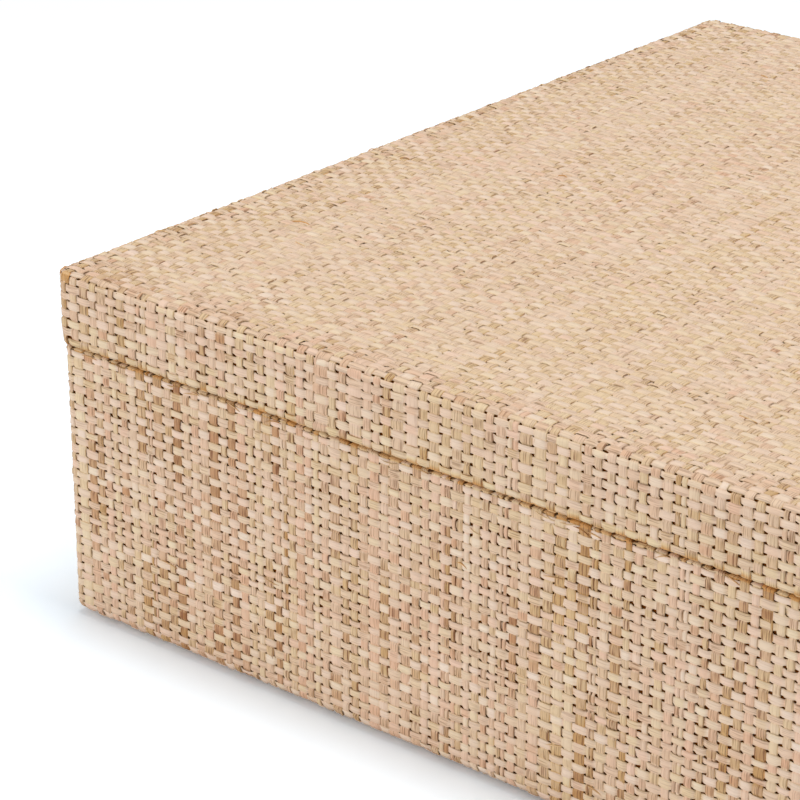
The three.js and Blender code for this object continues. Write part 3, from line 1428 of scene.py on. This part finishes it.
@dataclass(frozen=True)
class CornerTucks:
    """Tucked-in ends of strips that show at the top of each of the lid's corners.

    Attributes:
        places: where they lie, from the middle of the corner.
        widths: their widths.
        length: their greatest length.
        shortening: least and most of it that chance leaves.
        end: least and greatest distance of their upper ends from the flat top.
        sway: height of the wave that they swing by.
        sway_waves: radians of it along a tuck.
        sway_start: the most radians that it starts at.
        waist: share of the width that is left at the ends.
        bulge: how far they stand up in the middle.
        bulge_power: power of the half sine wave that they rise by; under 1 is blunt.
        sink: how far below the cloth's middle they start.
        roll: spread of their slope.
        tone: mean and spread of their tone.
        hue: mean and spread of their hue.
        edge: how much darker their edges are painted, as painted shade.
        stations: how many stations a tuck has.
    """

    places: tuple[float, ...] = (-2.3, 3.4)
    widths: tuple[float, ...] = (2.0, 3.0)
    length: float = 5.6
    shortening: tuple[float, float] = (0.75, 1.0)
    end: tuple[float, float] = (0.4, 0.9)
    sway: float = 0.12
    sway_waves: float = 5.0
    sway_start: float = 6.0
    waist: float = 0.7
    bulge: float = 0.85
    bulge_power: float = 0.6
    sink: float = 0.3
    roll: float = 0.1
    tone: tuple[float, float] = (0.56, 0.28)
    hue: tuple[float, float] = (-4.6, 0.8)
    edge: float = 0.5
    stations: int = 8

    def build(self, rng: np.random.Generator, corners: Wrap, plane: float) -> bpy.types.Object:
        """Lay short strips down the corners, which rise and fall as a power of half a sine wave.

        Args:
            rng: source of chance.
            corners: the lid's sides, wrapped around its corners.
            plane: height of the cloth's middle above them.

        Returns:
            The new object.
        """
        centres = (corners.side_starts[:-1, None] + np.array(self.places)).ravel()
        half = np.tile(self.widths, 4)[:, None] / 2
        shape = (len(centres), self.stations)
        share = np.linspace(0, 1, shape[1]) * np.ones(shape)
        arch = np.sin(math.pi * share)
        length = self.length * rng.uniform(*self.shortening, (shape[0], 1))
        end = corners.profile.length - rng.uniform(*self.end, (shape[0], 1))
        start = rng.uniform(0, self.sway_start, (shape[0], 1))
        sway = self.sway * np.sin(self.sway_waves * share + start)
        lay = Lay(
            along=end - length * (1 - share),
            across=centres[:, None] + sway,
            half=half * (self.waist + (1 - self.waist) * arch),
            height=self.bulge * arch**self.bulge_power - self.sink,
            roll=self.roll * rng.standard_normal(shape),
            tone=self.tone[0] + self.tone[1] * rng.standard_normal(shape),
            hue=self.hue[0] + self.hue[1] * rng.standard_normal(shape),
            edge=np.full(shape, self.edge),
            numbers=np.arange(shape[0]),
        )
        return lay.piece("lid_corner_tucks", corners, Family.UPRIGHT, plane)


@dataclass
class LidCover:
    """The raffia cloth over the lid, folded down its sides, on a brown scrim.

    Attributes:
        weave: the cloth.
        corner: radius of the upright corners.
        top_radius: radius of the top's edges.
        rim: radius of the scrim's lower edge.
        cloth_rim: tighter radius of the strips' lower edge.
        rim_turn_in: how far the cloth is turned in under the rim.
        lip: how far along the turn a row ends.
        rim_tint_and_shade: how the strips at the rim change colour: ochre, as glue has stained them, and
            darker, as painted shade under the lid's lower edge.
        tint_and_shade_reach: how far up this change starts.
        pressed_from: how far in from the edges the top is pressed fully.
        upright_press: how that changes the strips that run front to back.
        row_press: how it changes those that run side to side.
        upright_top_light: how the front-to-back strips' colour changes there: painted paler and a little
            more lemon, as light falls on the top.
        row_top_light: how the side-to-side strips' colour changes there: painted paler, as light falls on
            the top.
        tucks: the tucked-in ends at the corners.
        slivers: how many loose slivers lie on the cloth.
        sliver_reach: how far past the top's edges they lie.
        scrim: heights of the scrim's outer and inner face.
        scrim_steps: how many rows of points each face has.
        bands: how many pieces the strips over the top are made as, each way.
        seed: seed of all chance.
    """

    weave: Weave
    corner: float = 4.0
    top_radius: float = 2.5
    rim: float = 2.0
    cloth_rim: float = 1.4
    rim_turn_in: float = 6.0
    lip: float = 0.5
    rim_tint_and_shade: TintAndShade = TintAndShade(0.2, -4.2)
    tint_and_shade_reach: float = 2.0
    pressed_from: float = 12.0
    upright_press: Press = Press(0.72, 1.05, 0.9)
    row_press: Press = Press(0.6, 1.05, 0.7)
    # Painted light: on the top the strips are drawn paler than on the sides
    upright_top_light: TintAndShade = TintAndShade(-0.02, -0.6)
    row_top_light: TintAndShade = TintAndShade(-0.035, 0.0)
    tucks: CornerTucks = CornerTucks()
    slivers: int = 50
    sliver_reach: float = 12.0
    scrim: tuple[float, float] = (-1.05, -1.2)
    scrim_steps: int = 60
    bands: int = 3
    seed: int = 23

    def __post_init__(self) -> None:
        """Work out the strips' surface from the lid cover's box, and where on a flap its rim is."""
        low, high = (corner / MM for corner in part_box("lid_raffia_cover"))
        self.bottom, self.top = low.z, high.z
        self.surface = FoldedSheet(
            high.x - low.x, high.y - low.y, self.corner, self.top_radius, self._profile(self.cloth_rim)
        )
        self.flap = self.surface.profile.length
        self.rim_line = self.flap - self.rim_turn_in + self.lip

    def _profile(self, rim: float) -> Profile:
        """Give the path from the turned-in edge around the rim, up the side and over the top edge.

        Args:
            rim: radius of the rim.

        Returns:
            The path.
        """
        return Profile(
            (-self.rim_turn_in, self.bottom),
            (
                (self.rim_turn_in - rim, 0.0),
                (rim * QUARTER, QUARTER),
                (self.top - self.bottom - rim - self.top_radius, 0.0),
                (self.top_radius * QUARTER, QUARTER),
            ),
        )

    def _cells(
        self, rng: np.random.Generator, half: float, pitch: float, spread: float
    ) -> tuple[Cells, Cells, Cells]:
        """Draw cells across the sheet one way, with an edge at each fold and rim.

        Args:
            rng: source of chance.
            half: half of the flat top that way.
            pitch: mean width of a cell.
            spread: how uneven the widths are.

        Returns:
            The cells of the flap before the top, of the top and of the flap after it.
        """
        rim, flap = self.rim_line, self.flap
        top = Cells.drawn(rng, -half, half, pitch, spread)
        before = Cells.drawn(rng, -half - flap, -half - rim, pitch, spread)
        before = before.then(Cells.drawn(rng, -half - rim, -half, pitch, spread))
        after = Cells.drawn(rng, half, half + rim, pitch, spread, len(top.numbers))
        after = after.then(Cells.drawn(rng, half + rim, half + flap, pitch, spread))
        return replace(before, first=-len(before.numbers)), top, after

    def _near_rim(self, past_edge: Array) -> Array:
        """Rise from 0 to 1 over the reach of the rim's ochre and painted shade, above the rim."""
        return smooth_step((past_edge - (self.rim_line - self.tint_and_shade_reach)) / self.tint_and_shade_reach)

    def build(self, raffia: bpy.types.Material, scrim: bpy.types.Material) -> None:
        """Weave the sheet: strips over the top and down two sides each way, and rows around the four flaps.

        Args:
            raffia: finish of the strips.
            scrim: finish of the backing.
        """
        rng = np.random.default_rng(self.seed)
        weave, surface = self.weave, self.surface
        wide, deep = surface.half_width, surface.half_depth
        left, across, right = self._cells(rng, wide, weave.upright_pitch, weave.upright_spread)
        front, up, back = self._cells(rng, deep, weave.row_pitch, weave.row_spread)
        over_front = Lay.woven(rng, across, front.then(up).then(back), weave.upright, starts_over=False)
        over_sides = Lay.woven(rng, up, left.then(across).then(right), weave.row, starts_over=True)
        pieces = self._build_top(rng, over_front, Family.UPRIGHT, "lid_front_to_back_strips")
        pieces += self._build_top(rng, over_sides, Family.ROW, "lid_side_to_side_strips")
        for where, cells, crossings, edge, style, family in (
            ("front", front, across, deep, weave.row, Family.ROW),
            ("back", back, across, deep, weave.row, Family.ROW),
            ("left", left, up, wide, weave.upright, Family.UPRIGHT),
            ("right", right, up, wide, weave.upright, Family.UPRIGHT),
        ):
            lay = Lay.woven(rng, cells, crossings, style, starts_over=family is Family.ROW)
            # Near the rim the rows turn ochre from glue, and darker as painted shade of the lid's lower
            # edge
            lay.tint_and_shade(self._near_rim(np.abs(lay.across) - edge), self.rim_tint_and_shade)
            pieces.append(lay.piece(f"lid_{where}_rows", surface, family, weave.plane))
        corners = Wrap(surface.width, surface.depth, self.corner, surface.profile)
        pieces.append(self.tucks.build(rng, corners, weave.plane))
        along, beside = wide + self.sliver_reach, deep + self.sliver_reach
        along_places = rng.uniform(-along, along, self.slivers)
        lay = Lay.loose(rng, along_places, rng.uniform(-beside, beside, self.slivers))
        pieces.append(lay.piece("lid_loose_slivers", surface, Family.ROW, weave.plane))
        for piece in pieces:
            finish_piece(piece, raffia, "lid")
        self._build_scrim(scrim)

    def _build_top(
        self, rng: np.random.Generator, lay: Lay, family: Family, name: str
    ) -> list[bpy.types.Object]:
        """Tint the strips over the top ochre at the rims, with painted shade there, press them on the top
        and paint them paler there as light falls on it, and make them in bands.

        Args:
            rng: source of chance.
            lay: the strips.
            family: which way they run.
            name: start of the pieces' names.

        Returns:
            The new objects.
        """
        surface = self.surface
        edge, side = surface.half_width, surface.half_depth
        press, top = self.row_press, self.row_top_light
        if family is Family.UPRIGHT:
            edge, side = side, edge
            press, top = self.upright_press, self.upright_top_light
        past_edge = np.abs(lay.along) - edge
        lay.slant(rng, past_edge - self.rim_line)
        # Near the rims the strips turn ochre from glue, and darker as painted shade of the lid's lower edge
        lay.tint_and_shade(self._near_rim(past_edge), self.rim_tint_and_shade)
        inside = np.minimum(edge - np.abs(lay.along), side - np.abs(lay.across))
        on_top = smooth_step(inside / self.pressed_from)
        # On the top the strips are flatter and wider, with less painted shade at their edges and calmer
        # tones
        lay.press(on_top, press)
        # Painted light: the strips are drawn paler on the top
        lay.tint_and_shade(on_top, top)
        pieces = []
        for band, numbers in enumerate(np.array_split(np.arange(len(lay.numbers)), self.bands)):
            part = lay.cut(strips=slice(numbers[0], numbers[-1] + 1))
            pieces.append(part.piece(f"{name}_{band + 1}", surface, family, self.weave.plane))
        return pieces

    def _build_scrim(self, material: bpy.types.Material) -> bpy.types.Object:
        """Make the thin backing under the strips, from its turned-in edge over the top and back inside.

        Args:
            material: its finish.

        Returns:
            The new object.
        """
        profile = self._profile(self.rim)
        distance = np.linspace(0, profile.length, self.scrim_steps)
        outer_out, outer_up = profile.at(distance, self.scrim[0])
        inner_out, inner_up = profile.at(distance, self.scrim[1])
        piece = carried(
            "lid_cloth_scrim",
            (self.surface.width, self.surface.depth),
            self.corner,
            -np.concatenate([inner_out[::-1], outer_out]),
            np.concatenate([inner_up[::-1], outer_up]),
            is_ring=False,
        )
        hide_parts("lid_raffia_cover")
        finish_piece(piece, material, "lid")
        return piece


@dataclass
class Slab:
    """A flat sheet with rounded edges that stands for a CAD sheet, whichever way that one faces.

    Attributes:
        node: the CAD sheet.
        edge: radius of the edges.
        corner: radius of the corners, within the edges.
        steps: straight steps around an edge.
    """

    node: str
    edge: float
    corner: float = 1.0
    steps: int = 4

    def build(self, material: bpy.types.Material, body: str, slot: str) -> bpy.types.Object:
        """Carry a profile with quarter-round edges around the sheet, and turn it to face as the node does.

        Args:
            material: the sheet's finish.
            body: the body that it moves with.
            slot: the record's material slot; not used.

        Returns:
            The new object.
        """
        low, high = (np.array(corner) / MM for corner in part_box(self.node))
        size, middle = high - low, (high + low) / 2
        thin = int(np.argmin(size))
        order = [(thin + 1) % 3, (thin + 2) % 3, thin]
        width, depth, thickness = size[order]
        turn = np.linspace(0, QUARTER, self.steps + 1)
        inset = self.edge * (1 - np.sin(turn))
        rise = thickness / 2 - self.edge * (1 - np.cos(turn))
        piece = carried(
            self.node.replace("_liner", "_lining").replace("underside_felt", "underside_felt_pad"),
            (width, depth),
            self.corner + self.edge,
            np.concatenate([inset, inset[::-1]]),
            np.concatenate([-rise, rise[::-1]]),
            is_ring=False,
        )
        points = np.empty(len(piece.data.vertices) * 3, np.float32)
        piece.data.vertices.foreach_get("co", points)
        placed = np.empty((len(points) // 3, 3), np.float32)
        placed[:, order] = points.reshape(-1, 3)
        placed += (middle * MM).astype(np.float32)
        piece.data.vertices.foreach_set("co", placed.ravel())
        piece.data.update()
        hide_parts(self.node)
        finish_piece(piece, material, body)
        return piece


@dataclass
class Lining:
    """The linen-covered cards inside the base and the lid, with the radii of their edges."""

    base_edge: float = 0.8
    lid_edge: float = 0.55

    def build(self, linen: bpy.types.Material) -> None:
        """Round off every liner card.

        Args:
            linen: its finish.
        """
        for body, edge in (("base", self.base_edge), ("lid", self.lid_edge)):
            for node in frame["record"]["behaviour"]["bodies"][body]:
                if node.endswith("_liner"):
                    Slab(node, edge).build(linen, body, "lining")


@dataclass
class Carcass:
    """The boards and card that stay as they are in the frame, and the felt under them, with its radii."""

    felt_edge: float = 0.2
    felt_corner: float = 2.0

    def build(self, board: bpy.types.Material, card: bpy.types.Material, felt: bpy.types.Material) -> None:
        """Dress the boards and the card, and lay the felt.

        Args:
            board: finish of the fibreboard.
            card: finish of the infill card.
            felt: finish of the felt.
        """
        for name, node in frame["nodes"].items():
            for endings, finish, slot in (
                (("_board", "_rail"), board, "fibreboard"),
                (("_card",), card, "card"),
            ):
                if name.endswith(endings):
                    node.data.materials.clear()
                    node.data.materials.append(finish)
                    LOG.info("%s: dressed in %s", name, finish.name)
        pad = Slab("underside_felt", self.felt_edge, self.felt_corner).build(felt, "base", "felt")


# Studio


@dataclass(frozen=True)
class Camera:
    """The photograph's camera, from a fit to the box's edges: place in millimetres, angles in degrees."""

    place: tuple[float, float, float] = (321.094, -640.756, 371.33)
    azimuth: float = 39.6108
    elevation: float = 23.4961
    roll: float = 0.029
    focal_pixels: float = 2941.05
    image_pixels: float = 800.0
    sensor: float = 36.0
    clip: tuple[float, float] = (0.01, 100.0)

    def build(self) -> None:
        """Make the camera: it looks along minus its back axis, turned about it by the roll."""
        turn, tilt, roll = (math.radians(a) for a in (self.azimuth, self.elevation, self.roll))
        back = Vector((math.sin(turn) * math.cos(tilt), -math.cos(turn) * math.cos(tilt), math.sin(tilt)))
        right = Vector((math.cos(turn), math.sin(turn), 0))
        up = back.cross(right)
        rolled_right = right * math.cos(roll) + up * math.sin(roll)
        rolled_up = up * math.cos(roll) - right * math.sin(roll)
        data = bpy.data.cameras.new("photo_camera")
        data.sensor_width = self.sensor
        data.lens = self.focal_pixels * self.sensor / self.image_pixels
        data.clip_start, data.clip_end = self.clip
        camera = bpy.data.objects.new("photo_camera", data)
        axes = Matrix((rolled_right, rolled_up, back)).transposed()
        camera.matrix_world = Matrix.Translation(Vector(self.place) * MM) @ axes.to_4x4()
        bpy.context.scene.collection.objects.link(camera)
        bpy.context.scene.camera = camera


@dataclass(frozen=True)
class Lamp:
    """A soft rectangular lamp, aimed at the box: place and size in metres, power in watts."""

    name: str
    place: tuple[float, float, float]
    size: tuple[float, float]
    power: float
    aim: tuple[float, float, float] = (0.0, 0.0, 0.05)

    def build(self) -> None:
        """Hang the lamp and turn it to face its aim."""
        data = bpy.data.lights.new(self.name, "AREA")
        data.shape = "RECTANGLE"
        data.size, data.size_y = self.size
        data.energy = self.power
        lamp = bpy.data.objects.new(self.name, data)
        lamp.location = self.place
        lamp.rotation_mode = "QUATERNION"
        lamp.rotation_quaternion = (Vector(self.aim) - Vector(self.place)).to_track_quat("-Z", "Y")
        bpy.context.scene.collection.objects.link(lamp)


@dataclass(frozen=True)
class Studio:
    """A white floor and sky with soft lamps. The floor shows white, and keeps part of the box's shadow.

    Attributes:
        floor_half: half of the floor's side, in metres.
        floor_drop: how far the floor lies below the box.
        floor_white: how white the floor is for the light that it throws back.
        floor_shown: how bright it shows, in red, green, blue and alpha.
        floor_fade: distances in metres between which it goes over to plain white.
        sky: strength of the sky's light.
        lamps: the lamps.
    """

    floor_half: float = 30.0
    floor_drop: float = 0.2
    floor_white: float = 0.9
    floor_shown: tuple[float, float, float, float] = (1.16, 1.285, 1.40, 1.0)
    floor_fade: tuple[float, float] = (0.45, 0.9)
    sky: float = 0.46
    lamps: tuple[Lamp, ...] = (
        Lamp("overhead_lamp", (0.2, 0.04, 1.75), (1.3, 0.5), 15.9, (0.2, 0.04, 0.0)),
        Lamp("front_lamp", (-0.95, -1.65, 0.5), (1.4, 0.7), 11.7),
    )

    def build(self) -> None:
        """Make the floor, the sky, the lamps and the camera."""
        bpy.context.scene.view_settings.view_transform = "Standard"
        self._build_floor()
        self._build_sky()
        for lamp in self.lamps:
            lamp.build()
        Camera().build()

    @staticmethod
    def _seen_directly(tree: bpy.types.NodeTree) -> Socket:
        """Give 1 where the camera, a reflection or a clear body shows the background, and 0 elsewhere.

        Args:
            tree: the tree to add to.

        Returns:
            The socket.
        """
        rays = add_node(tree, "LightPath").outputs
        seen = rays["Is Camera Ray"]
        for name in ("Is Glossy Ray", "Is Transmission Ray"):
            seen = add_node(tree, "Math", {"operation": "MAXIMUM"}, {0: seen, 1: rays[name]}).outputs[0]
        return seen

    def _build_floor(self) -> None:
        """Lay the floor: matte white, shown brighter and cooler than it is, so that its shadow is grey.

        Far from the box it shows plain white instead.
        """
        half = self.floor_half / MM
        corners = half * np.array([[-1, -1, 0], [1, -1, 0], [1, 1, 0], [-1, 1, 0]])
        corners[:, 2] = -self.floor_drop
        floor = make_object("studio_floor", corners, np.array([[0, 1, 2, 3]]), {})
        material, tree, output = new_material("white_studio_paper")
        plain = (self.floor_white,) * 3 + (1.0,)
        seen = self._seen_directly(tree)
        white = add_node(
            tree,
            "Mix",
            {"data_type": "RGBA"},
            {"Factor": seen, "A": plain, "B": self.floor_shown},
        )
        matte = add_node(tree, "BsdfDiffuse", inputs={"Color": white.outputs["Result"]})
        place = add_node(tree, "TexCoord").outputs["Object"]
        distance = add_node(tree, "VectorMath", {"operation": "LENGTH"}, {0: place}).outputs["Value"]
        near, far = self.floor_fade
        share = add_node(tree, "MapRange", inputs={0: distance, 1: near, 2: far, 3: 0.0, 4: 1.0}).outputs[0]
        share = add_node(tree, "Math", {"operation": "MULTIPLY"}, {0: share, 1: seen}).outputs[0]
        glow = add_node(tree, "Emission", inputs={"Color": linear("#ffffff"), "Strength": 1.0})
        look = add_node(tree, "MixShader", inputs={0: share, 1: matte.outputs[0], 2: glow.outputs[0]})
        tree.links.new(look.outputs[0], output.inputs["Surface"])
        floor.data.materials.append(material)

    def _build_sky(self) -> None:
        """Make the sky: white where it is seen directly, and a soft fill light elsewhere."""
        world = bpy.data.worlds.new("studio_sky")
        world.use_nodes = True
        tree = world.node_tree
        tree.nodes.clear()
        seen = self._seen_directly(tree)
        strength = add_node(tree, "MapRange", inputs={0: seen, 1: 0.0, 2: 1.0, 3: self.sky, 4: 1.0})
        look = {"Color": linear("#ffffff"), "Strength": strength.outputs[0]}
        light = add_node(tree, "Background", inputs=look)
        output = add_node(tree, "OutputWorld")
        tree.links.new(light.outputs[0], output.inputs["Surface"])
        bpy.context.scene.world = world


BASE_WEAVE = Weave(
    upright_pitch=3.15,
    row_pitch=2.51,
    upright_spread=0.15,
    row_spread=0.07,
    upright=StripStyle(
        gap=0.63,
        crimp=0.15,
        tone=0.67,
        tone_spread=0.065,
        width_spread=0.12,
        pinch=0.1,
        hue_spread=1.55,
        edge=0.12,
        shoulder=0.84,
        brown_share=0.4,
        brown_step=0.28,
        split_share=0.12,
    ),
    row=StripStyle(
        gap=0.4,
        crimp=0.19,
        tone=0.785,
        tone_spread=0.05,
        width_spread=0.07,
        pinch=0.06,
        hue_spread=0.95,
        edge=0.07,
        shoulder=0.86,
    ),
)
LID_WEAVE = Weave(
    upright_pitch=3.36,
    row_pitch=2.54,
    upright_spread=0.1,
    row_spread=0.06,
    upright=StripStyle(
        gap=0.65,
        crimp=0.15,
        tone=0.68,
        tone_spread=0.055,
        width_spread=0.12,
        pinch=0.09,
        hue_spread=1.5,
        edge=0.13,
        shoulder=0.84,
        brown_share=0.3,
        brown_step=0.17,
        split_share=0.08,
    ),
    row=StripStyle(
        gap=0.42,
        crimp=0.19,
        tone=0.75,
        tone_spread=0.04,
        width_spread=0.07,
        pinch=0.07,
        hue_spread=0.95,
        edge=0.08,
        shoulder=0.86,
    ),
)


def main() -> None:
    """Build the studio and the box's sub-assemblies in order."""
    logging.basicConfig(level=logging.INFO, format="%(name)s: %(message)s")
    Studio().build()
    raffia, scrim = RAFFIA.material(), SCRIM.material()
    BaseCover(BASE_WEAVE).build(raffia, scrim)
    LidCover(LID_WEAVE).build(raffia, scrim)
    Lining().build(LINEN.material())
    Carcass().build(FIBREBOARD.material(), CARD.material(), FELT.material())


if __name__ == "__main__":
    main()
